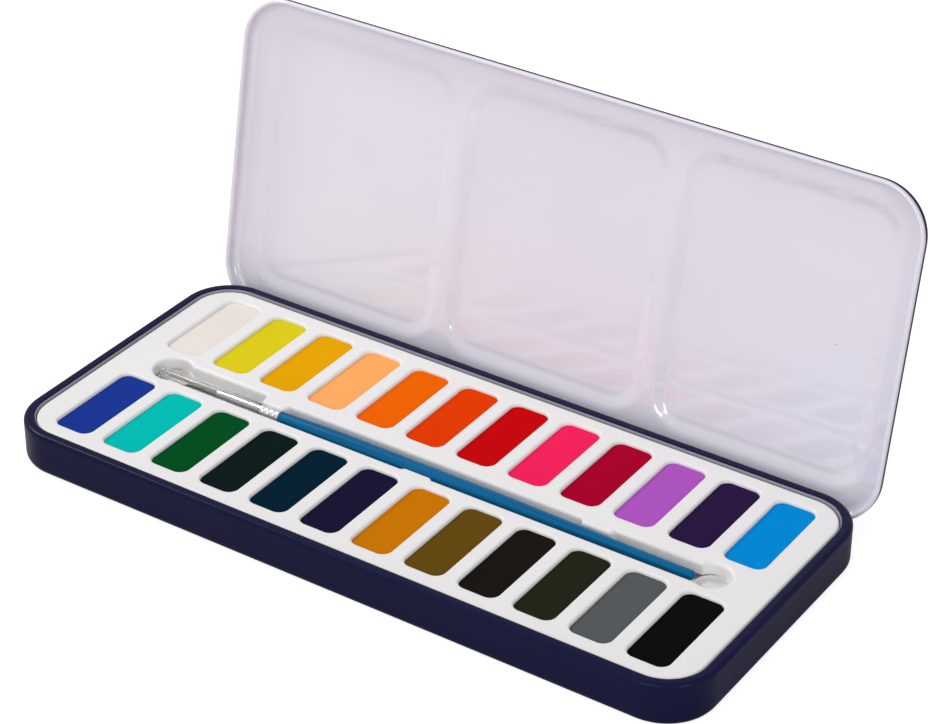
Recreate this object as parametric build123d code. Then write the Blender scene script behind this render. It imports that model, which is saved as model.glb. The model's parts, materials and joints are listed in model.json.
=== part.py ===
from build123d import *
import math
import os

os.makedirs("parts", exist_ok=True)

# A hinged flat tin of watercolours, lid standing open, all sizes in millimetres.
# X runs along the long side, Y to the hinge side, Z up from the underside.

# Distance under which two levels count as one
TOUCH = 0.001

# Base tin
LENGTH = 230.0
WIDTH = 102.0
CORNER_R = 15.5
RIM_Z = 13.6
SHEET = 0.35
BOTTOM_R = 2.5
SHOULDER_R = 1.3
HEM_W = 3.5
HEM_DROP = 2.2
HEM_EDGE_R = 0.9

# Lid tin, sizes as it lies closed
LID_GAP = 0.1
LID_INSET = 0.2
LID_RIM_W = 1.2
LID_RIM_RETURN = 1.1
LID_RIM_EDGE_R = 0.55
LID_DEPTH = 5.6
LID_TOP_R = 3.0
DIVIDER_RISE = 1.1
DIVIDER_W = 2.0
FLANK_W = 5.5
DISH_BORDER = 6.0
DISH_CORNER_R = 12.0
DISHES = 3

# Hinge
OPEN_ANGLE = 101.0
PIVOT_IN = 3.9
PIVOT_DROP = 4.85
HINGE_X = 62.0
PIN_R = 0.7
PIN_CLEARANCE = 0.1
STRAP_T = 0.5
TONGUE_W = 10.0
TONGUE_SIDE_GAP = 0.5
TONGUE_WALL_GAP = 0.15
TONGUE_LAP = 2.4
JOGGLE_H = 0.8
LUG_T = 0.8
LUG_R = 1.5
LUG_FLANGE_W = 4.0
PIN_HEAD_R = 1.15
PIN_HEAD_T = 0.5
WINDOW_LOW_Z = 2.9
WINDOW_TOP_GAP = 0.5
WINDOW_R = 0.6
BRACKET_RISE = 1.6

# Paint tray
TRAY_GAP = 0.25
TRAY_BELOW_RIM = 0.7
TRAY_PLATE_T = 1.0
TRAY_WALL = 0.8
TRAY_LIP_H = 1.8
FLOOR_GAP = 0.05
COLUMNS = 12
WELL_PITCH = 17.58
WELL_W = 12.7
WELL_L = 33.0
WELL_R = 3.0
WELL_ROW_Y = 25.6
WELL_EDGE_R = 0.8
CAKE_T = 6.5
CAKE_BELOW_TOP = 1.0
CAKE_GAP = 0.05
RIB_T = 1.2
RIB_SPREAD = 20.0

# Brush channel in the tray
CHANNEL_FRONT_Y = -5.0
CHANNEL_BACK_Y = 3.0
CHANNEL_WIDE_BACK_Y = 4.4
CHANNEL_WIDE_END_X = -56.0
CHANNEL_FLOOR_GAP = 0.05
RECESS_DEPTH = 5.2
LEFT_RECESS = (-92.3, 0.1)
LEFT_RECESS_R = 5.9
RIGHT_RECESS = (92.9, 0.0)
RIGHT_RECESS_R = 5.5
NUB_GAP = 0.15
NUB_R = 0.4
NUB_BACK_LEFT_X = (-60.0, -51.3)
NUB_BACK_RIGHT_X = (50.3, 60.3)
NUB_FRONT_X = (-5.3, 4.4)
NUB_BACK_RIGHT_Y = 1.3

# Brush, lying along X
BRUSH_Y = -1.6
BRUSH_BELOW_TRAY = 1.4
HANDLE_START_X = -51.1
HANDLE_END_X = 88.5
HANDLE_R = 2.35
HANDLE_NECK_R = 1.85
HANDLE_TAIL_R = 1.45
HANDLE_BELLY_X = (-30.0, 5.0)
TENON_R = 1.2
TENON_L = 8.0
FERRULE_R = 1.75
FERRULE_STEP_X = -58.0
FERRULE_NOSE_R = 1.15
FERRULE_NOSE_X = -74.0
FERRULE_BORE_R = 0.95
CRIMP_R = 0.35
CRIMP_DEPTH = 0.2
CRIMP_X = (-52.6, -54.6, -56.4)
CAP_TIP_X = -94.8
CAP_WALL = 0.35
CAP_CLEARANCE = 0.05
BRISTLE_ROOT_X = -66.0
BRISTLE_TIP_X = -92.5
BRISTLE_BACKING_T = 0.6
BRISTLE_FIT = 0.05
BRISTLES = 300
BRISTLE_T = 0.045
BRISTLE_TIP_SCALE = 0.3

# Worked out from the sizes above
MOUTH_L = LENGTH - 2 * HEM_W
MOUTH_W = WIDTH - 2 * HEM_W
MOUTH_R = CORNER_R - HEM_W
HEM_Z = RIM_Z - HEM_DROP
LID_Z = RIM_Z + LID_GAP
LID_L = LENGTH - 2 * LID_INSET
LID_W = WIDTH - 2 * LID_INSET
LID_R = CORNER_R - LID_INSET
LID_PAN_H = LID_DEPTH - DIVIDER_RISE + SHEET
PIVOT_Y = WIDTH / 2 - PIVOT_IN
PIVOT_Z = RIM_Z - PIVOT_DROP
PIVOT_LINE = Axis((0, PIVOT_Y, PIVOT_Z), (1, 0, 0))
KNUCKLE_BORE_R = PIN_R + PIN_CLEARANCE
KNUCKLE_R = KNUCKLE_BORE_R + STRAP_T
LUG_IN_X = TONGUE_W / 2 + TONGUE_SIDE_GAP
LUG_OUT_X = LUG_IN_X + LUG_T
WINDOW_W = TONGUE_W + 2 * TONGUE_SIDE_GAP
WINDOW_TOP_Z = PIVOT_Z + STRAP_T / 2 + WINDOW_TOP_GAP
TRAY_L = MOUTH_L - 2 * TRAY_GAP
TRAY_W = MOUTH_W - 2 * TRAY_GAP
TRAY_R = MOUTH_R - TRAY_GAP
TRAY_TOP_Z = RIM_Z - TRAY_BELOW_RIM
CAKE_TOP_Z = TRAY_TOP_Z - CAKE_BELOW_TOP
CAKE_LOW_Z = CAKE_TOP_Z - CAKE_T
BRUSH_Z = TRAY_TOP_Z - BRUSH_BELOW_TRAY
CHANNEL_FLOOR_Z = BRUSH_Z - HANDLE_R - CHANNEL_FLOOR_GAP
FERRULE_NECK_R = FERRULE_R - CAP_WALL
CAP_BORE_R = FERRULE_NECK_R + CAP_CLEARANCE
TUFT_R = FERRULE_BORE_R - BRISTLE_FIT

COLOURS_BACK = (
    "cream_white", "lemon", "golden_yellow", "peach", "orange", "vermilion",
    "red", "rose_pink", "crimson", "lilac", "dark_purple", "sky_blue",
)
COLOURS_FRONT = (
    "ultramarine", "turquoise", "deep_green", "viridian_black", "prussian_blue", "indigo",
    "ochre", "olive_brown", "sepia", "dark_olive", "grey", "black",
)


def slab(length, width, radius, low_z, high_z):
    """A flat block with rounded corners, centred on the Z axis."""
    outline = RectangleRounded(length, width, radius)
    return Pos(0, 0, low_z) * extrude(outline, amount=high_z - low_z)


def edges_at(shape, z):
    """The edges of a shape that lie flat at one height."""
    level = shape.edges().filter_by(lambda edge: edge.bounding_box().size.Z < TOUCH)
    return level.filter_by(lambda edge: abs(edge.center().Z - z) < TOUCH)


def block(x_range, y_range, z_range):
    """A plain box between two values along each axis."""
    size = [high - low for low, high in (x_range, y_range, z_range)]
    middle = [(high + low) / 2 for low, high in (x_range, y_range, z_range)]
    return Pos(*middle) * Box(*size)


def opened(shape):
    """A piece drawn as the lid lies closed, turned back to where the lid stands open."""
    return shape.rotate(PIVOT_LINE, -OPEN_ANGLE)


def folded_pan(length, width, radius, height, end_r, fold_r, fold_w, fold_drop, fold_edge_r):
    """A pressed pan, floor down, whose wall folds inward and down again round the mouth."""
    outer = slab(length, width, radius, 0, height)
    outer = fillet(edges_at(outer, 0), end_r)
    outer = fillet(edges_at(outer, height), fold_r)
    mouth_size = (length - 2 * fold_w, width - 2 * fold_w, radius - fold_w)
    outer -= slab(*mouth_size, height - fold_drop, height + fold_r)
    rim_face = outer.faces().filter_by(Plane.XY).sort_by(Axis.Z)[-1]
    outer = fillet(rim_face.inner_wires().edges(), fold_edge_r)
    void_size = (length - 2 * SHEET, width - 2 * SHEET, radius - SHEET)
    void = slab(*void_size, SHEET, height - SHEET)
    void = fillet(edges_at(void, SHEET), end_r - SHEET)
    void = fillet(edges_at(void, height - SHEET), fold_r - SHEET)
    fold_size = (mouth_size[0] + 2 * SHEET, mouth_size[1] + 2 * SHEET, mouth_size[2] + SHEET)
    void -= slab(*fold_size, height - fold_drop, height)
    top_face = void.faces().filter_by(Plane.XY).sort_by(Axis.Z)[-1]
    void = fillet(top_face.inner_wires().edges(), fold_edge_r - SHEET)
    return outer - void


def base_tin():
    """The lower tin, with a window in its back wall for each hinge tongue."""
    tin = folded_pan(LENGTH, WIDTH, CORNER_R, RIM_Z, BOTTOM_R, SHOULDER_R, HEM_W, HEM_DROP, HEM_EDGE_R)
    for side in (-1, 1):
        tin -= Pos(side * HINGE_X, 0, 0) * window()
    return tin


def window():
    """The rounded hole that a tongue passes through, cut from the back wall and the bracket."""
    height = WINDOW_TOP_Z - WINDOW_LOW_Z
    outline = Plane.XZ * RectangleRounded(WINDOW_W, height, WINDOW_R)
    middle = Pos(0, WIDTH / 2, (WINDOW_TOP_Z + WINDOW_LOW_Z) / 2)
    return middle * extrude(outline, amount=PIVOT_IN / 2, both=True)


def dish(length, width, radius, grow):
    """One shallow mixing dish with sloping flanks, deepest at minus DIVIDER_RISE."""
    outlines = []
    for inset, z in ((0, 0), (FLANK_W, -DIVIDER_RISE)):
        size = (length - 2 * inset + 2 * grow, width - 2 * inset + 2 * grow, radius - inset + grow)
        outlines.append(Pos(0, 0, z) * RectangleRounded(*size))
    return loft(outlines, ruled=True)


def lid_tin():
    """The lid, pressed with a border and two dividers round three mixing dishes."""
    pan = folded_pan(
        LID_L, LID_W, LID_R, LID_PAN_H, LID_TOP_R,
        LID_RIM_EDGE_R, LID_RIM_W, LID_RIM_RETURN, LID_RIM_EDGE_R)
    field_l = LID_L - 2 * (SHEET + DISH_BORDER)
    dish_w = LID_W - 2 * (SHEET + DISH_BORDER)
    dish_l = (field_l - (DISHES - 1) * DIVIDER_W) / DISHES
    for index in range(DISHES):
        x = (index - (DISHES - 1) / 2) * (dish_l + DIVIDER_W)
        pan += Pos(x, 0, 0) * dish(dish_l, dish_w, DISH_CORNER_R, SHEET)
        pan -= Pos(x, 0, SHEET) * dish(dish_l, dish_w, DISH_CORNER_R, 0)
    closed = Pos(0, 0, LID_Z + LID_PAN_H) * Rot(180, 0, 0) * pan
    return opened(closed)


def hinge_tongue():
    """A strap from the lid's back wall, out over the rim and in to a knuckle on the pin."""
    skirt_y = LID_W / 2
    wall_y = WIDTH / 2 + TONGUE_WALL_GAP
    lap_z = LID_Z + JOGGLE_H
    outline = Polyline(
        (skirt_y, lap_z + TONGUE_LAP),
        (skirt_y, lap_z),
        (wall_y, LID_Z),
        (wall_y, PIVOT_Z + STRAP_T / 2),
        (PIVOT_Y, PIVOT_Z + STRAP_T / 2),
        (PIVOT_Y, PIVOT_Z - STRAP_T / 2),
        (wall_y + STRAP_T, PIVOT_Z - STRAP_T / 2),
        (wall_y + STRAP_T, LID_Z),
        (skirt_y + STRAP_T, lap_z),
        (skirt_y + STRAP_T, lap_z + TONGUE_LAP),
        close=True,
    )
    section = make_face(outline) + Pos(PIVOT_Y, PIVOT_Z) * Circle(KNUCKLE_R)
    section -= Pos(PIVOT_Y, PIVOT_Z) * Circle(KNUCKLE_BORE_R)
    return opened(extrude(Plane.YZ * section, amount=TONGUE_W / 2, both=True))


def hinge_bracket():
    """A plate welded inside the back wall, with two lugs that hold the pin."""
    wall_y = WIDTH / 2 - SHEET
    plate_y = wall_y - STRAP_T
    plate_x = LUG_OUT_X + LUG_FLANGE_W
    bracket = block(
        (-plate_x, plate_x), (plate_y, wall_y), (PIVOT_Z - LUG_R, PIVOT_Z + BRACKET_RISE))
    bracket -= window()
    for side in (-1, 1):
        x_range = sorted((side * LUG_IN_X, side * LUG_OUT_X))
        bracket += block(x_range, (PIVOT_Y, plate_y), (PIVOT_Z - LUG_R, PIVOT_Z + LUG_R))
        bracket += along_x(x_range, LUG_R)
    return bracket - along_x((-LUG_OUT_X, LUG_OUT_X), PIN_R)


def along_x(x_range, radius, y=PIVOT_Y, z=PIVOT_Z):
    """A round bar along X, on the pivot unless another place is given."""
    low, high = x_range
    return Pos((low + high) / 2, y, z) * Rot(0, 90, 0) * Cylinder(radius, high - low)


def hinge_pin():
    """A wire pin with flattened ends outside the lugs."""
    pin = along_x((-LUG_OUT_X, LUG_OUT_X), PIN_R)
    for side in (-1, 1):
        x_range = sorted((side * LUG_OUT_X, side * (LUG_OUT_X + PIN_HEAD_T)))
        pin += along_x(x_range, PIN_HEAD_R)
    return pin


def well_places():
    """The centre of each well, back row first, from left to right."""
    places = []
    for row_y in (WELL_ROW_Y, -WELL_ROW_Y):
        for column in range(COLUMNS):
            places.append(((column - (COLUMNS - 1) / 2) * WELL_PITCH, row_y))
    return places


def well(grow, low_z, high_z):
    """A rounded block in a well's outline, grown by a wall or shrunk by a gap."""
    outline = RectangleRounded(WELL_W + 2 * grow, WELL_L + 2 * grow, WELL_R + grow)
    return Pos(0, 0, low_z) * extrude(outline, amount=high_z - low_z)


def channel_plan(grow):
    """The brush channel from above, wider beside the ferrule, without its nubs."""
    plan = Sketch()
    for low_x, high_x, back_y in (
            (LEFT_RECESS[0], CHANNEL_WIDE_END_X + grow, CHANNEL_WIDE_BACK_Y),
            (CHANNEL_WIDE_END_X, RIGHT_RECESS[0], CHANNEL_BACK_Y)):
        middle = Pos((low_x + high_x) / 2, (back_y + CHANNEL_FRONT_Y) / 2)
        plan += middle * Rectangle(high_x - low_x, back_y - CHANNEL_FRONT_Y + 2 * grow)
    return plan


def recess_plan(grow):
    """The two round finger recesses from above."""
    left = Pos(*LEFT_RECESS) * Circle(LEFT_RECESS_R + grow)
    return left + Pos(*RIGHT_RECESS) * Circle(RIGHT_RECESS_R + grow)


def nub_plan():
    """The three nubs that hold the brush, from above."""
    beyond = TRAY_WALL / 2
    nub_ranges = (
        (NUB_BACK_LEFT_X, (BRUSH_Y + HANDLE_NECK_R + NUB_GAP, CHANNEL_WIDE_BACK_Y + beyond)),
        (NUB_BACK_RIGHT_X, (NUB_BACK_RIGHT_Y, CHANNEL_BACK_Y + beyond)),
        (NUB_FRONT_X, (CHANNEL_FRONT_Y - beyond, BRUSH_Y - HANDLE_R - NUB_GAP)),
    )
    nubs = Sketch()
    for x_range, y_range in nub_ranges:
        middle = Pos(sum(x_range) / 2, sum(y_range) / 2)
        nubs += middle * Rectangle(x_range[1] - x_range[0], y_range[1] - y_range[0])
    return nubs


def paint_tray():
    """The moulded insert: a plate with a lip, wells, a brush channel and ribs below."""
    plate_z = TRAY_TOP_Z - TRAY_PLATE_T
    tray = slab(TRAY_L, TRAY_W, TRAY_R, TRAY_TOP_Z - TRAY_LIP_H, TRAY_TOP_Z)
    inside = (TRAY_L - 2 * TRAY_WALL, TRAY_W - 2 * TRAY_WALL, TRAY_R - TRAY_WALL)
    tray -= slab(*inside, TRAY_TOP_Z - TRAY_LIP_H, plate_z)
    low_z = CAKE_LOW_Z - TRAY_WALL
    tray += [Pos(*place) * well(TRAY_WALL, low_z, plate_z) for place in well_places()]
    tray += tray_ribs(low_z)
    for plan, floor_z in channel_levels(TRAY_WALL):
        tray += Pos(0, 0, floor_z - TRAY_WALL) * extrude(plan, amount=plate_z - floor_z + TRAY_WALL)
    tray -= [Pos(*place) * well(0, CAKE_LOW_Z, TRAY_TOP_Z) for place in well_places()]
    rim_face = tray.faces().filter_by(Plane.XY).sort_by(Axis.Z)[-1]
    tray = fillet(rim_face.inner_wires().edges(), WELL_EDGE_R)
    upper = channel_plan(0) + recess_plan(0) - nub_plan()
    upper = fillet(upper.vertices(), NUB_R)
    tray -= Pos(0, 0, CHANNEL_FLOOR_Z) * extrude(upper, amount=TRAY_TOP_Z - CHANNEL_FLOOR_Z)
    tray -= Pos(0, 0, TRAY_TOP_Z - RECESS_DEPTH) * extrude(recess_plan(0), amount=RECESS_DEPTH)
    return tray


def channel_levels(grow):
    """The channel and its recesses, each with the height of its floor."""
    return (
        (channel_plan(grow), CHANNEL_FLOOR_Z),
        (recess_plan(grow), TRAY_TOP_Z - RECESS_DEPTH),
    )


def tray_ribs(high_z):
    """Two long ribs under each row of wells, which stand on the tin's floor."""
    reach = (COLUMNS - 1) * WELL_PITCH / 2 + WELL_W / 2
    ribs = []
    for row_y in (-WELL_ROW_Y, WELL_ROW_Y):
        for side in (-1, 1):
            y = row_y + side * RIB_SPREAD / 2
            y_range = (y - RIB_T / 2, y + RIB_T / 2)
            ribs.append(block((-reach, reach), y_range, (SHEET + FLOOR_GAP, high_z)))
    return ribs


def turned(outline):
    """A round piece of the brush from its half outline, drawn along X."""
    return Pos(0, BRUSH_Y, BRUSH_Z) * revolve(make_face(outline), Axis.X)


def brush_handle():
    """The lacquered handle, with a tenon that sits in the ferrule."""
    tenon_x = HANDLE_START_X - TENON_L
    rise_x, fall_x = HANDLE_BELLY_X
    tail_x = HANDLE_END_X - HANDLE_TAIL_R
    level = (1, 0)
    outline = Curve() + [
        Polyline((tenon_x, 0), (tenon_x, TENON_R), (HANDLE_START_X, TENON_R),
                 (HANDLE_START_X, HANDLE_NECK_R)),
        Spline((HANDLE_START_X, HANDLE_NECK_R), (rise_x, HANDLE_R), tangents=(level, level)),
        Line((rise_x, HANDLE_R), (fall_x, HANDLE_R)),
        Spline((fall_x, HANDLE_R), (tail_x, HANDLE_TAIL_R), tangents=(level, level)),
        RadiusArc((tail_x, HANDLE_TAIL_R), (HANDLE_END_X, 0), HANDLE_TAIL_R),
        Line((HANDLE_END_X, 0), (tenon_x, 0)),
    ]
    return turned(outline)


def brush_ferrule():
    """The crimped ferrule, narrower where the clear tube slides over it."""
    tenon_x = HANDLE_START_X - TENON_L
    outline = Polyline(
        (HANDLE_START_X, TENON_R),
        (HANDLE_START_X, FERRULE_R),
        (FERRULE_STEP_X, FERRULE_R),
        (FERRULE_STEP_X, FERRULE_NECK_R),
        (tenon_x - TENON_L, FERRULE_NECK_R),
        (FERRULE_NOSE_X, FERRULE_NOSE_R),
        (FERRULE_NOSE_X, FERRULE_BORE_R),
        (tenon_x, FERRULE_BORE_R),
        (tenon_x, TENON_R),
        close=True,
    )
    ferrule = turned(outline)
    for x in CRIMP_X:
        ring = Torus(FERRULE_R + CRIMP_R - CRIMP_DEPTH, CRIMP_R)
        ferrule -= Pos(x, BRUSH_Y, BRUSH_Z) * Rot(0, 90, 0) * ring
    return ferrule


def brush_cap():
    """The clear tube that guards the bristles."""
    outline = Polyline(
        (FERRULE_STEP_X - CAP_CLEARANCE, CAP_BORE_R),
        (FERRULE_STEP_X - CAP_CLEARANCE, CAP_BORE_R + CAP_WALL),
        (CAP_TIP_X, CAP_BORE_R + CAP_WALL),
        (CAP_TIP_X, CAP_BORE_R),
        close=True,
    )
    return turned(outline)


def brush_bristles():
    """A tuft whose strands draw in towards the tip, rooted in a thin disc in the ferrule."""
    backing_range = (BRISTLE_ROOT_X, BRISTLE_ROOT_X + BRISTLE_BACKING_T)
    backing = along_x(backing_range, TUFT_R, BRUSH_Y, BRUSH_Z)
    golden_turn = math.pi * (3 - math.sqrt(5))
    strands = []
    for index in range(BRISTLES):
        radius = (TUFT_R - BRISTLE_T) * math.sqrt((index + 0.5) / BRISTLES)
        y = radius * math.cos(index * golden_turn)
        z = radius * math.sin(index * golden_turn)
        strands.append(strand(y, z))
    return backing.fuse(*strands)


def strand(y, z):
    """One four-sided bristle from inside the backing to the drawn-in tip."""
    ends = []
    root_x = BRISTLE_ROOT_X + BRISTLE_BACKING_T / 2
    for x, scale in ((root_x, 1), (BRISTLE_TIP_X, BRISTLE_TIP_SCALE)):
        place = Plane((x, BRUSH_Y + y * scale, BRUSH_Z + z * scale), (0, 1, 0), (-1, 0, 0))
        ends.append(place * Rectangle(BRISTLE_T * scale, BRISTLE_T * scale))
    return loft(ends, ruled=True)


def save(name, shape):
    """Write one piece."""
    export_step(shape, f"parts/{name}.step")


save("base_tin", base_tin())
save("lid_tin", lid_tin())
for side_name, side in (("left", -1), ("right", 1)):
    at_side = Pos(side * HINGE_X, 0, 0)
    save(f"hinge_bracket_{side_name}", at_side * hinge_bracket())
    save(f"hinge_pin_{side_name}", at_side * hinge_pin())
    save(f"hinge_tongue_{side_name}", at_side * hinge_tongue())
save("paint_tray", paint_tray())
cake = well(-CAKE_GAP, CAKE_LOW_Z, CAKE_TOP_Z)
for colour, place in zip(COLOURS_BACK + COLOURS_FRONT, well_places()):
    save(f"paint_{colour}", Pos(*place) * cake)
save("brush_handle", brush_handle())
save("brush_ferrule", brush_ferrule())
save("brush_cap", brush_cap())
save("brush_bristles", brush_bristles())
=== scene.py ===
import json
import math
from functools import cache

import bmesh
import bpy
from mathutils import Matrix, Vector


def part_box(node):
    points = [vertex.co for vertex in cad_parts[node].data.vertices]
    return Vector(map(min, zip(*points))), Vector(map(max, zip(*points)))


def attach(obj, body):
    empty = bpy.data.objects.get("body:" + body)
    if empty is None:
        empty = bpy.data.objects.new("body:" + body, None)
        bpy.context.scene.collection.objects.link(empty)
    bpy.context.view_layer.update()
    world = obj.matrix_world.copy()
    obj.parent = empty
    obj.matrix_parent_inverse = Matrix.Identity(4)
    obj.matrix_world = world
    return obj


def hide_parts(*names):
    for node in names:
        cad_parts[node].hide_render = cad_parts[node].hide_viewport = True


# A flat tin of watercolours with its lid open. Shapes are drawn in millimetres and made in metres.
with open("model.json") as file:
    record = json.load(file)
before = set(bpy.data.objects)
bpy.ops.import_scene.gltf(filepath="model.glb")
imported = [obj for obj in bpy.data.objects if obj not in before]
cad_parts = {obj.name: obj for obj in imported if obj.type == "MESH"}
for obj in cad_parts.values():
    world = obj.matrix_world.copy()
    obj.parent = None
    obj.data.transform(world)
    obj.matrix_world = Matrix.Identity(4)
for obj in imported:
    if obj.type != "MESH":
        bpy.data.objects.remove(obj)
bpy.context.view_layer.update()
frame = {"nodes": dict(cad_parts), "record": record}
MM = 0.001

# Sheet and rims, as in the solids
SHEET = 0.35
BOTTOM_R = 2.5
SHOULDER_R = 1.3
HEM_W = 3.5
HEM_DROP = 2.2
HEM_EDGE_R = 0.9
CORNER_R = 15.5

# Lid
LID_GAP = 0.1
LID_RIM_W = 1.2
LID_RIM_RETURN = 1.1
LID_RIM_EDGE_R = 0.55
LID_RIM_SUPPORT = 0.04
LID_WRAP = 1.1
LID_DEPTH = 5.6
LID_TOP_R = 3.0
LID_INNER_R = 2.65
DIVIDER_RISE = 1.1
DIVIDER_W = 2.0
FLANK_W = 5.5
FLANK_STEPS = 12
DISH_BORDER = 6.0
DISH_CORNER_R = 12.0
DISHES = 3

# Hinge window in the back wall
HINGE_X = 62.0
WINDOW_W = 11.0
WINDOW_LOW_Z = 2.9
WINDOW_HIGH_Z = 9.5
WINDOW_R = 0.6

# Tray
TRAY_PLATE_T = 1.0
TRAY_WALL = 0.8
TRAY_LIP_H = 1.8
TRAY_EDGE_R = 0.8
CAKE_GAP = 0.05
WELL_R = 3.0
WELL_EDGE_R = 0.8
RIB_T = 1.2
RIB_SPREAD = 20.0
CHANNEL_FRONT_Y = -5.0
CHANNEL_BACK_Y = 3.0
CHANNEL_WIDE_BACK_Y = 4.4
CHANNEL_DEPTH = 3.8
CHANNEL_EDGE_R = 1.0
RECESS_DEPTH = 5.2
RECESS_LEDGE = 0.35
LEFT_RECESS = (-92.3, 0.1, 5.9)
RIGHT_RECESS = (92.9, 0.0, 5.5)
NUB_R = 1.2
NUB_FOOT_R = 0.5
NUB_SLANT = 1.0
NUB_BACK_LEFT = (-60.0, -51.3, 0.4)
NUB_BACK_RIGHT = (50.3, 60.3, 1.3)
NUB_FRONT = (-5.3, 4.4, -4.1)

# Brush, measured along X
HANDLE_START_X = -51.1
HANDLE_NECK_R = 1.85
HANDLE_R = 2.35
HANDLE_BELLY = (-30.0, 5.0)
HANDLE_TAIL_R = 1.45
FERRULE_R = 1.75
FERRULE_STEP_X = -58.0
FERRULE_NECK_R = 1.4
FERRULE_TAPER_X = -67.1
FERRULE_NOSE_R = 1.15
FERRULE_BORE_R = 0.95
CRIMP_X = (-52.6, -54.6, -56.4)
CRIMP_HALF_W = 0.45
CRIMP_DEPTH = 0.2
CAP_WALL = 0.35
CAP_CLEARANCE = 0.05
BRISTLE_ROOT_X = -66.0
BRISTLES = 320
BRISTLE_SIDES = 5
BRISTLE_R = 0.03
BRISTLE_TIP_R = 0.012
TUFT_R = 0.85
TUFT_TIP_R = 0.32
TUFT_RAGGED = 0.06
BRISTLE_SEED = 7

# Fineness of the meshes
CORNER_STEPS = 20
WELL_STEPS = 8
DISH_STEPS = 14
ARC_STEPS = 6
SUPPORT = 0.15
TURN_STEPS = 48
POLE_R = 0.001
HANDLE_STEPS = 24
HANDLE_FRONT_R = 0.1
WELD_DISTANCE = 1e-4
CUTTER_REACH = 2
GOLDEN_TURN = math.pi * (3 - math.sqrt(5))
SHARP_ANGLE = math.radians(40)

# Camera that took the photograph, aimed at a point on the tray's top
CAMERA_AZIMUTH = 33.592
CAMERA_ELEVATION = 32.05
CAMERA_ROLL = 0.336
CAMERA_TARGET = (-19.75, 53.76, 12.9)
CAMERA_DISTANCE = 863.52
CAMERA_LENS = 108.99
SENSOR_W = 36.0

# Light
WORLD_LIGHT = 0.5
FLOOR_GLOW = 0.75
FLOOR_COLOUR = (0.6, 0.59, 0.6)
FLOOR_HALF = 2.0
WORLD_COLOUR = (0.98, 0.97, 1.0, 1)
LIGHT_AIM = (0, 0.02, 0.03)

# Colours as they look, in sRGB
NAVY = "131438"
LID_WHITE = "EBE7F2"
# Painted shade: the inside of the lower tin gets this grey for the shadow on its inner wall below
# the rim
INNER_SHADE_GREY = "8E8B93"
TRAY_WHITE = "EAE9E7"
HANDLE_BLUE = "036393"
HANDLE_SHADE = "03567F"
METAL_SHADE = "DADADD"
FERRULE_BRIGHT = "F2F2F4"
HINGE_BRIGHT = "C9CACE"
BRISTLE_DARK = "BFB3A4"
BRISTLE_PALE = "EAE2D6"
CAKE_COLOURS = {
    "cream_white": "E8E0D7", "lemon": "DACA1A", "golden_yellow": "E3A300",
    "peach": "FCAB61", "orange": "EE6300", "vermilion": "E13B00",
    "red": "C3040A", "rose_pink": "F2225A", "crimson": "A8002B",
    "lilac": "AD55BD", "dark_purple": "2B1741", "sky_blue": "008AD4",
    "ultramarine": "1A3691", "turquoise": "00BAB0", "deep_green": "004E20",
    "viridian_black": "0B1C1C", "prussian_blue": "012031", "indigo": "171533",
    "ochre": "C77500", "olive_brown": "624910", "sepia": "1A1610",
    "dark_olive": "242517", "grey": "555A5B", "black": "0B0C0C",
}


def span(node):
    """Lowest and highest corner of a solid, in millimetres."""
    low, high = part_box(node)
    return Vector(low) / MM, Vector(high) / MM


def size(node):
    """Size of a solid along each axis, in millimetres."""
    low, high = span(node)
    return high - low


BASE = size("base_tin")
RIM_Z = span("base_tin")[1].z
TRAY = size("paint_tray")
TRAY_TOP_Z = span("paint_tray")[1].z
TRAY_LOW_Z = span("paint_tray")[0].z
HANDLE_END_X = span("brush_handle")[1].x
CAP_TIP_X = span("brush_cap")[0].x
FERRULE_NOSE_X = span("brush_ferrule")[0].x
BRUSH_LOW, BRUSH_HIGH = span("brush_cap")
BRUSH_Y = (BRUSH_LOW.y + BRUSH_HIGH.y) / 2
BRUSH_Z = (BRUSH_LOW.z + BRUSH_HIGH.z) / 2
JOINTS = {joint["name"]: joint for joint in frame["record"]["behaviour"]["joints"]}
PIVOT = Vector(JOINTS["lid_hinge"]["pos_m"]) / MM
OPEN_ANGLE = math.radians(JOINTS["lid_hinge"]["range_deg"][1])
LID_L = size("lid_tin").x
LID_W = BASE.y - (BASE.x - LID_L)
LID_R = CORNER_R - (BASE.x - LID_L) / 2
LID_H = LID_DEPTH - DIVIDER_RISE + SHEET


def linear(code):
    """An sRGB colour code as linear red, green, blue and alpha."""
    parts = []
    for start in (0, 2, 4):
        value = int(code[start:start + 2], 16) / 255
        parts.append(value / 12.92 if value <= 0.04045 else ((value + 0.055) / 1.055) ** 2.4)
    return (*parts, 1.0)


def mesh_object(name, mesh, *materials):
    """A piece from a finished mesh, smooth but for its sharp edges."""
    for material in materials:
        mesh.materials.append(material)
    mesh.shade_smooth()
    mesh.set_sharp_from_angle(angle=SHARP_ANGLE)
    piece = bpy.data.objects.new(name, mesh)
    bpy.context.scene.collection.objects.link(piece)
    return piece


def finished(name, work, *materials, place=Matrix.Identity(4)):
    """Close a working mesh in millimetres and make a piece of it in metres."""
    bmesh.ops.remove_doubles(work, verts=work.verts, dist=WELD_DISTANCE)
    bmesh.ops.recalc_face_normals(work, faces=work.faces)
    mesh = bpy.data.meshes.new(name)
    work.to_mesh(mesh)
    work.free()
    mesh.transform(Matrix.Scale(MM, 4) @ place)
    return mesh_object(name, mesh, *materials)


def rounded_rectangle(length, width, radius, steps=CORNER_STEPS):
    """Points round a rectangle with round corners, the same count at any size."""
    points = []
    for x_sign, y_sign, start in ((1, 1, 0), (-1, 1, 90), (-1, -1, 180), (1, -1, 270)):
        middle_x = x_sign * (length / 2 - radius)
        middle_y = y_sign * (width / 2 - radius)
        for step in range(steps + 1):
            turn = math.radians(start + 90 * step / steps)
            points.append((middle_x + radius * math.cos(turn), middle_y + radius * math.sin(turn)))
    return points


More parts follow.
